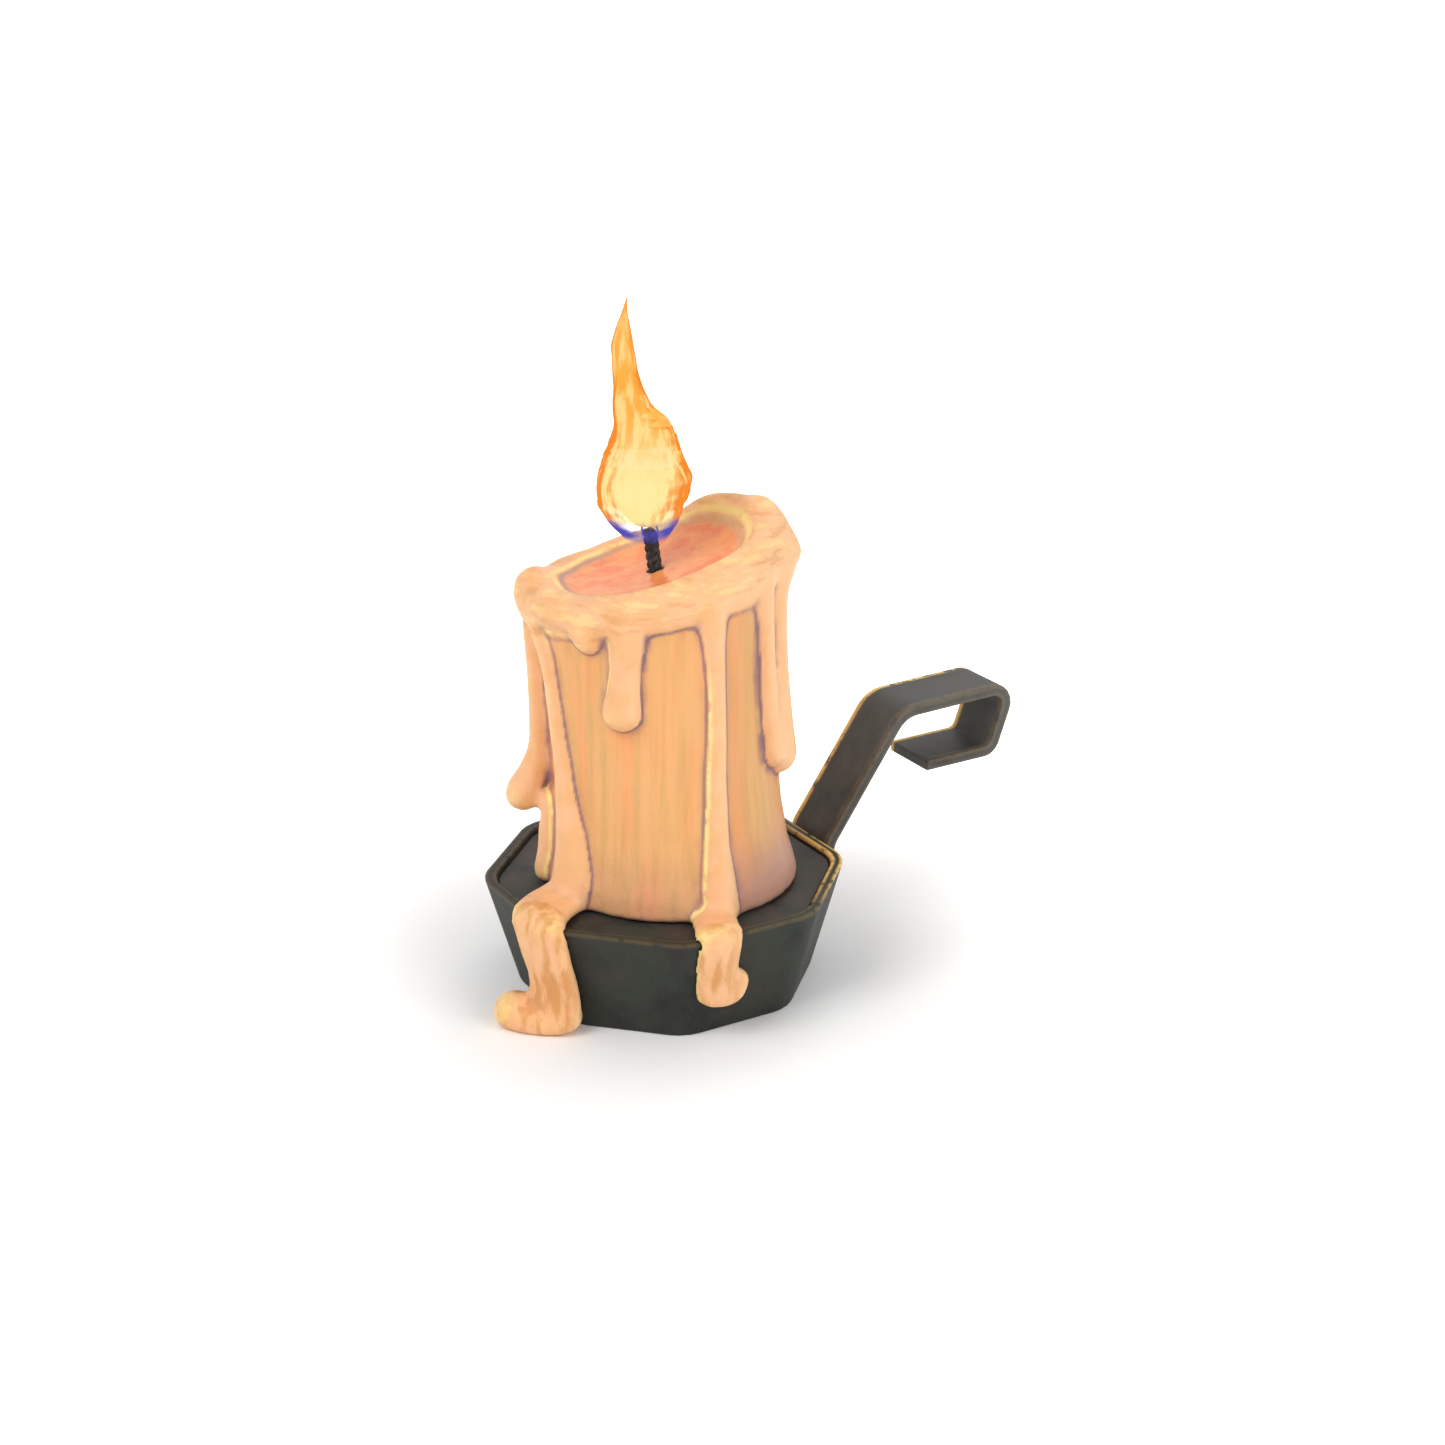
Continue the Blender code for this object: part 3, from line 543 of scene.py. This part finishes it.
# Distances in metres: from the axis, from the pool's edge, from the plain side
PAST_RIM = (0.0400, 0.0420)
POOL_ENDS = (-0.0022, 0.0002)
BRINK_STARTS = (-0.0020, -0.0002)
BRINK_ENDS = (0.0000, 0.0009)
BRIM_STARTS = (0.0006, 0.0012)
BRIM_ENDS = (0.0016, 0.0026)
LOW_SIDE = (0.004, 0.016)
PROUD_RUNS = (0.0007, 0.0015)

# How far a point stands out from its surroundings, in metres, or from the blurred runs
RIDGE_STANDS = (0.00014, 0.00045)
SPILL_STANDS = (0.00010, 0.00036)
HOLLOW_SINKS = (0.00005, 0.00034)
OUTLINE_HALO = (0.04, 0.20)
LIT_HALO = (0.03, 0.14)

# How squarely a point faces a direction, and how lit it has to be
FACES_LIGHT = (-0.35, 0.60)
FACES_RIGHT = (0.10, 0.95)
EDGE_LIT = (0.15, 0.60)
SPILL_LIT = (0.30, 0.85)

# The most that each mark shows, the least where the name says so, or what light takes off
BRINK_LEAST = 0.45
RIDGE_MOST = 0.80
RIDGE_LEAST = 0.20
SPILL_RIDGE_MOST = 0.75
BRIM_MOST = 0.80
FOOT_LINE_MOST = 0.70
CREASE_LIT_LOSS = 0.50
LOW_SHADE_LEAST = 0.45

# way up from the plate to the crest, the plain candle's radius there
SIDE_WAYS = (0.0, 0.06, 0.12, 0.24, 0.45, 0.70, 1.0)
SIDE_RADII = (0.0312, 0.0304, 0.0291, 0.0280, 0.0274, 0.0276, 0.0280)

# Lumps of the lip and the left run: bearing, distance, height, size, push out, push up
LUMPS = (
    (-30.0, 0.0305, 0.1095, 0.0045, 0.0034, 0.0000),
    (-12.0, 0.0290, 0.1180, 0.0060, 0.0010, 0.0022),
    (28.0, 0.0265, 0.1165, 0.0080, 0.0000, 0.0018),
    (152.0, 0.0300, 0.1010, 0.0050, 0.0012, 0.0024),
    (178.0, 0.0300, 0.0965, 0.0040, 0.0014, 0.0006),
    (149.0, 0.0350, 0.0460, 0.0045, 0.0018, 0.0000),
)


def mesh_of(thing):
    """An object's mesh with its modifiers applied, as a new mesh."""
    graph = bpy.context.evaluated_depsgraph_get()
    return bpy.data.meshes.new_from_object(thing.evaluated_get(graph))


def cut_finer(piece, cell):
    """Cut a piece's surface anew in cells of one size, and give the new mesh."""
    finer = piece.modifiers.new("finer", "REMESH")
    finer.mode = "VOXEL"
    finer.voxel_size = cell
    mesh = mesh_of(piece)
    piece.modifiers.clear()
    piece.data = mesh
    return mesh


def read_points(mesh, normals=False):
    """A mesh's points, or its normals, as an array."""
    flat = np.empty(len(mesh.vertices) * 3, dtype=np.float32)
    source = mesh.vertex_normals if normals else mesh.vertices
    source.foreach_get("vector" if normals else "co", flat)
    return flat.reshape(-1, 3).astype(np.float64)


def move_points(mesh, points):
    """Put a mesh's points where the array says."""
    mesh.vertices.foreach_set("co", points.astype(np.float32).ravel())
    mesh.update()


def read_pairs(mesh):
    """The two points of every edge."""
    flat = np.empty(len(mesh.edges) * 2, dtype=np.int64)
    mesh.edges.foreach_get("vertices", flat)
    return flat.reshape(-1, 2)


def relaxed(values, pairs, rounds):
    """Values pulled again and again towards the middle of their neighbours' values."""
    count = np.bincount(pairs.ravel(), minlength=len(values))[:, None]
    for _ in range(rounds):
        total = np.zeros_like(values)
        np.add.at(total, pairs[:, 0], values[pairs[:, 1]])
        np.add.at(total, pairs[:, 1], values[pairs[:, 0]])
        values = (1 - RELAX_PULL) * values + RELAX_PULL * total / count
    return values


def candle_offsets(points):
    """Distance from the leaning axis, height over the crest, stand over the plain side."""
    way = (points[:, 2] - PLATE_TOP) / (CREST_HEIGHT - PLATE_TOP)
    lean = FOOT_LEAN + (TOP_LEAN - FOOT_LEAN) * way
    flat = points[:, :2] - lean[:, None] * HIGH_SIDE[:2]
    crest = CREST_HEIGHT + CREST_SLOPE * (flat @ HIGH_SIDE[:2])
    away = np.linalg.norm(flat, axis=1)
    return away, points[:, 2] - crest, away - np.interp(way, SIDE_WAYS, SIDE_RADII)


def soft_step(values, span):
    """0 below the span, 1 above it and a soft rise between."""
    low, high = span
    part = np.clip((values - low) / (high - low), 0, 1)
    return part * part * (3 - 2 * part)


# The shape: even cells, runs sharpened where the wax touches nothing, lumps pushed out
wax = new_piece("set_wax", merged_copy("candle_wax"))
mesh = cut_finer(wax, WAX_CELL)
pairs = read_pairs(mesh)
points = relaxed(read_points(mesh), pairs, WAX_SMOOTHING)
relief = points - relaxed(points, pairs, WAX_SPREAD)
away, above, proud = candle_offsets(points)
spilled = soft_step(away, PAST_RIM)
free = np.maximum(soft_step(points[:, 2] - PLATE_TOP, OFF_PLATE), spilled)
free = free * soft_step(points[:, 2], OFF_TABLE)
points = points + relief * (WAX_SHARPEN * free)[:, None]
for bearing, distance, height, size, out, up in LUMPS:
    near = np.linalg.norm(points - np.array(towards(bearing, distance, height)), axis=1)
    push = np.array(towards(bearing, out, up))
    points = points + np.exp(-0.5 * (near / size) ** 2)[:, None] * push
move_points(mesh, points)

# The painted values: where the wax is lit, in the pool or a run, painted shade in creases and
# outlines, painted highlights on ridges
normals = read_points(mesh, normals=True)
stands = np.einsum("ij,ij->i", relief, normals)
lit_side = soft_step(normals @ LIT_FROM, FACES_LIGHT)
from_pool = away - POOL_RADIUS
at_crest = soft_step(above, AT_CREST)
pool = (1 - soft_step(from_pool, POOL_ENDS)) * at_crest
runs = np.maximum(soft_step(above, LIP_RUNS), soft_step(proud, PROUD_RUNS))
halo = relaxed(runs[:, None], pairs, HALO_SPREAD)[:, 0]
# Painted shade: a dark outline round each run and under the lip
outline = soft_step(halo - runs, OUTLINE_HALO) * (1 - pool)
low_side = soft_step(-points[:, :2] @ HIGH_SIDE[:2], LOW_SIDE)
# Painted shade: a dark line at the pool's brink, strongest on the low side
brink = soft_step(from_pool, BRINK_STARTS) * (1 - soft_step(from_pool, BRINK_ENDS))
brink = brink * at_crest * (BRINK_LEAST + (1 - BRINK_LEAST) * low_side)
# Painted highlight: a pale line at the crater's brim
brim = soft_step(from_pool, BRIM_STARTS) * (1 - soft_step(from_pool, BRIM_ENDS)) * at_crest
# Painted highlights on lit edges of runs, on ridges and on the spills' ridges
lit_edge = soft_step(runs - halo, LIT_HALO) * soft_step(lit_side, EDGE_LIT)
ridge_highlight = soft_step(stands, RIDGE_STANDS) * (RIDGE_LEAST + (1 - RIDGE_LEAST) * lit_side)
spill_ridge = spilled * soft_step(stands, SPILL_STANDS) * soft_step(lit_side, SPILL_LIT)
# Painted shade: a dark line along the candle's foot
foot_line = (1 - soft_step(points[:, 2] - PLATE_TOP, FOOT_LINE)) * (1 - runs)
# Painted shade in hollows
hollow = soft_step(-stands, HOLLOW_SINKS)
highlight_marks = (RIDGE_MOST * ridge_highlight, SPILL_RIDGE_MOST * spill_ridge, lit_edge, BRIM_MOST * brim)
shade_marks = (hollow, outline, brink, FOOT_LINE_MOST * foot_line)
for name, values in (
    ("ridge_highlight", np.max(highlight_marks, axis=0)),
    ("crease_shade", np.max(shade_marks, axis=0) * (1 - CREASE_LIT_LOSS * lit_side)),
    ("pool", pool),
    ("spilled", spilled),
    ("runs", runs),
    ("lip", soft_step(above, LIP) * (1 - pool)),
    ("shade", 1 - soft_step(points[:, 2], LOW_SHADE)),
    # Which way a point faces the picture's right, for painted shade on the body and painted light on
    # the runs
    ("right_side", soft_step(normals @ HIGH_SIDE, FACES_RIGHT)),
):
    write_attribute(mesh, name, values)
mesh.shade_smooth()

# The finish: streaked body, paler runs and lip, orange pool, painted shade in creases, folds, low down
# and on the right-facing body, painted highlights on ridges, lip and right-facing runs
wax_material, shader = new_material("melted wax", {
    "Subsurface Weight": GLOW_SHARE,
    "Subsurface Radius": GLOW_REACH,
    "Subsurface Scale": GLOW_DEPTH,
    "Specular IOR Level": WAX_SPECULAR,
})
tree = wax_material.node_tree
streaks = object_noise(tree, *STREAKS)
broad_streaks = object_noise(tree, *BROAD_STREAKS)
mottle = object_noise(tree, *MOTTLE)
wrinkles = object_noise(tree, *WRINKLES)
lip = mask(tree, "lip")
right_side = mask(tree, "right_side")
low_shade = times(tree, mask(tree, "shade"), maths(tree, "ADD", right_side, LOW_SHADE_LEAST))
folds = times(tree, mask(tree, "spilled"), ramp(tree, object_noise(tree, *FOLDS), 0.42, 0.60))
broken_light = ramp(tree, object_noise(tree, *BROKEN_LIGHT), 0.30, 0.50)
body_colour = laid_over(tree, WAX_BODY, (
    (ramp(tree, broad_streaks, 0.40, 0.60), 1.00, WAX_BODY_ORANGE),
    (ramp(tree, streaks, 0.44, 0.68), 0.42, WAX_BODY_OLIVE),
    (ramp(tree, streaks, 0.52, 0.30), 0.22, WAX_PALE),
    # Painted shade on the body's side that faces the picture's right
    (right_side, 0.35, WAX_BODY_OLIVE),
    (low_shade, 0.75, WAX_SHADE),
))
run_colour = laid_over(tree, WAX_PALE, (
    (ramp(tree, mottle, 0.38, 0.66), 0.55, WAX_BODY),
    # Painted fold shade on the spills
    (folds, 0.90, WAX_FOLD_SHADE),
    # Painted light: runs paler where they face the picture's right
    (right_side, 0.45, WAX_PALE_RIGHT),
    # Painted fold shade on the lip
    (times(tree, lip, ramp(tree, wrinkles, 0.53, 0.64)), 0.50, WAX_FOLD_SHADE),
    # Painted highlight strokes on the lip
    (times(tree, lip, ramp(tree, wrinkles, 0.46, 0.36)), 0.35, WAX_HIGHLIGHT),
))
pool_colour = blend(tree, ramp(tree, mottle, 0.35, 0.62), WAX_POOL_DEEP, WAX_POOL)
colour = laid_over(tree, body_colour, (
    (mask(tree, "runs"), 1.00, run_colour),
    (mask(tree, "pool"), 1.00, pool_colour),
    # Painted shade in creases and outlines, then painted highlights on ridges
    (mask(tree, "crease_shade"), 0.90, WAX_CREASE_SHADE),
    (times(tree, mask(tree, "ridge_highlight"), broken_light), 0.95, WAX_HIGHLIGHT),
))
feed(tree, shader.inputs["Base Color"], colour)
smoother = times(tree, mask(tree, "pool"), POOL_SMOOTHER)
feed(tree, shader.inputs["Roughness"], maths(tree, "SUBTRACT", WAX_ROUGHNESS, smoother))
fine = maths(tree, "ADD", streaks, object_noise(tree, *GRAIN))
swells = maths(tree, "MULTIPLY", object_noise(tree, *SWELLS), SWELL_HEIGHT)
dips = maths(tree, "MULTIPLY", times(tree, lip, wrinkles), DIP_HEIGHT)
height = maths(tree, "ADD", fine, maths(tree, "ADD", swells, dips))
feed(tree, shader.inputs["Normal"], bumped(tree, height, WAX_BUMP_DEPTH, WAX_BUMP_STRENGTH))
paint(mesh, wax_material)
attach(wax, "root")
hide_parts("candle_wax")


# The wick: three strands of cotton plaited together, set in the candle's middle and
# charred black where it stands out of the pool.
WICK_RING_POINTS = 16
STRANDS = 3
STRAND_RADIUS = 0.00100
STRAND_OUT = 0.00086
STRAND_PITCH = 0.0060
STRAND_STEP = 0.0004
STRAND_ROUNDNESS = 3
STRAND_END_SHARES = (0.80, 0.45)
CHAR_BLACK = (0.006, 0.007, 0.009, 1.0)
CHAR_GREY = (0.055, 0.070, 0.075, 1.0)
CHAR = (1400, (1.0, 1.0, 0.5), 4)
CHAR_SPAN = (0.35, 0.70)
CHAR_ROUGHNESS = 0.8
CHAR_BUMP_DEPTH = 0.0004
CHAR_BUMP_STRENGTH = 0.8


def wick_route():
    """The middles of the CAD wick's rings, from its foot up."""
    copy = merged_copy("wick")
    ends = np.array(sorted((tuple(vert.co) for vert in copy.verts), key=lambda point: point[2]))
    copy.free()
    return ends.reshape(-1, WICK_RING_POINTS, 3).mean(axis=1)


def plaited_wick(route):
    """A mesh of round strands twisted about a route, thinner at their charred ends."""
    lengths = np.linalg.norm(np.diff(route, axis=0), axis=1)
    reached = np.concatenate([[0.0], np.cumsum(lengths)])
    stops = np.arange(STRAND_RADIUS, reached[-1] - STRAND_RADIUS, STRAND_STEP)
    middle = np.stack([np.interp(stops, reached, route[:, k]) for k in range(3)], axis=1)
    curve = bpy.data.curves.new("plait", "CURVE")
    curve.dimensions = "3D"
    curve.bevel_depth = STRAND_RADIUS
    curve.bevel_resolution = STRAND_ROUNDNESS
    curve.use_fill_caps = True
    for strand in range(STRANDS):
        turn = 2 * math.pi * (stops / STRAND_PITCH + strand / STRANDS)
        offset = np.stack([np.cos(turn), np.sin(turn), np.zeros_like(turn)], axis=1)
        line = curve.splines.new("POLY")
        line.points.add(len(stops) - 1)
        for point, at in zip(line.points, middle + STRAND_OUT * offset):
            point.co = (*at, 1.0)
        line.points[-2].radius, line.points[-1].radius = STRAND_END_SHARES
    drawn = bpy.data.objects.new("plait", curve)
    scene.collection.objects.link(drawn)
    mesh = mesh_of(drawn)
    bpy.data.objects.remove(drawn)
    return mesh


wick = bpy.data.objects.new("charred_wick", plaited_wick(wick_route()))
scene.collection.objects.link(wick)
wick.data.shade_smooth()
wick_material, shader = new_material("charred wick", {"Roughness": CHAR_ROUGHNESS})
tree = wick_material.node_tree
char = object_noise(tree, *CHAR)
char_colour = blend(tree, ramp(tree, char, *CHAR_SPAN), CHAR_BLACK, CHAR_GREY)
feed(tree, shader.inputs["Base Color"], char_colour)
feed(tree, shader.inputs["Normal"], bumped(tree, char, CHAR_BUMP_DEPTH, CHAR_BUMP_STRENGTH))
paint(wick.data, wick_material)
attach(wick, "root")
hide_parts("wick")


# The flame: glowing gas round the wick's tip, as three skins one inside another. The
# outer skin is thin orange with a blue foot, the middle one amber, the core pale yellow.
FLAME_CELL = 0.00040
FLAME_SMOOTHING = 8
FLAME_LEVELS = 60
FLAME_NEAREST = 60
FLAME_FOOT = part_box("flame")[0][2]
TIP_DRAW = 0.0026
TIP_SHORTER = 0.030
LICK_TURNS = 1
LICK_HEIGHT = 0.0170
LICK_DEPTH = 0.07
LICK_STARTS = (0.10, 0.45)

# Licks in the flame's colour: scale, stretch along the axes, detail
LICKS = (420, (1.0, 1.0, 0.16), 4)
LICK_SPAN = (0.38, 0.62)
LICK_LEAST = 0.35
LICK_ON_RIM = 0.36
FACING_BLEND = 0.40
RIM_STARTS = (0.34, 0.78)
FOOT_FACING = (0.16, 0.52)

# Heights above the flame's foot, in metres, over which these fade in
TONGUE_UP = (0.016, 0.034)
FOOT_OPEN_UP = (0.0012, 0.0044)
FOOT_CLEAR_UP = (0.0056, 0.0088)

OUTER_SHARE = 1.06

# name, share of the full width, lift of the foot, colours low, high and edge, alpha, foot
FLAME_SKINS = (
    ("flame_outer", OUTER_SHARE, 0.0000, (1.00, 0.85, 0.35, 1), (1.00, 0.44, 0.06, 1),
     (0.95, 0.27, 0.03, 1), 0.88, (0.09, 0.08, 0.46, 1)),
    ("flame_middle", 0.92, 0.0052, (1.00, 0.86, 0.44, 1), (1.00, 0.60, 0.14, 1),
     (1.00, 0.50, 0.09, 1), 0.85, None),
    ("flame_core", 0.66, 0.0074, (1.00, 0.95, 0.58, 1), (1.00, 0.70, 0.20, 1),
     (1.00, 0.82, 0.34, 1), 1.00, None),
)


def flame_skin(name, share, lift):
    """A copy of the flame's solid, cut finer, drawn in or out from its own middle line."""
    skin = new_piece(name, merged_copy("flame"))
    mesh = cut_finer(skin, FLAME_CELL)
    points = relaxed(read_points(mesh), read_pairs(mesh), FLAME_SMOOTHING)
    top = points[:, 2].max()
    levels = np.linspace(FLAME_FOOT, top, FLAME_LEVELS)
    middle = np.array([
        points[np.argsort(np.abs(points[:, 2] - level))[:FLAME_NEAREST], :2].mean(axis=0)
        for level in levels
    ])
    axis = np.stack([np.interp(points[:, 2], levels, middle[:, k]) for k in (0, 1)], axis=1)
    height = (points[:, 2] - FLAME_FOOT) / (top - FLAME_FOOT)
    out = (points[:, :2] - axis) * share
    turn = np.arctan2(out[:, 1], out[:, 0])
    ripple = np.sin(LICK_TURNS * turn + points[:, 2] / LICK_HEIGHT * 2 * math.pi)
    waver = 1 + LICK_DEPTH * ripple * soft_step(height, LICK_STARTS)
    points[:, :2] = axis + out * waver[:, None]
    tip_lift = TIP_DRAW - (OUTER_SHARE - share) * TIP_SHORTER
    points[:, 2] = points[:, 2] + lift * (1 - height) + tip_lift * height ** 2
    move_points(mesh, points)
    mesh.shade_smooth()
    write_attribute(mesh, "up", points[:, 2] - FLAME_FOOT)
    return skin


def flame_material(name, low, high, edge, body_alpha, foot):
    """Glowing gas in upward licks: thin where it faces the eye, denser at its edge."""
    material, shader = new_material(name, {
        "Emission Strength": 1.0,
        "Base Color": (0.0, 0.0, 0.0, 1.0),
        "Roughness": 1.0,
        "Specular IOR Level": 0.0,
    })
    tree = material.node_tree
    licks = ramp(tree, object_noise(tree, *LICKS), *LICK_SPAN)
    weight = add_node(tree, "LayerWeight")
    weight.inputs["Blend"].default_value = FACING_BLEND
    facing = weight.outputs["Facing"]
    up = mask(tree, "up")
    tongue = times(tree, maths(tree, "ADD", licks, LICK_LEAST, clamp=True), ramp(tree, up, *TONGUE_UP))
    rim = ramp(tree, maths(tree, "ADD", facing, times(tree, licks, LICK_ON_RIM)), *RIM_STARTS)
    colour = blend(tree, rim, blend(tree, tongue, low, high), edge)
    alpha = maths(tree, "MAXIMUM", rim, body_alpha)
    if foot:
        clear = ramp(tree, up, *FOOT_CLEAR_UP)
        colour = blend(tree, clear, foot, colour)
        below = maths(tree, "SUBTRACT", 1.0, clear, clamp=True)
        below = times(tree, below, ramp(tree, up, *FOOT_OPEN_UP))
        below = times(tree, below, ramp(tree, facing, *FOOT_FACING))
        alpha = maths(tree, "MAXIMUM", times(tree, alpha, clear), below)
    feed(tree, shader.inputs["Emission Color"], colour)
    feed(tree, shader.inputs["Alpha"], alpha)
    return material


for name, share, lift, low, high, edge, alpha, foot in FLAME_SKINS:
    skin = flame_skin(name, share, lift)
    paint(skin.data, flame_material(name, low, high, edge, alpha, foot))
    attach(skin, "root")
    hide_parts("flame")
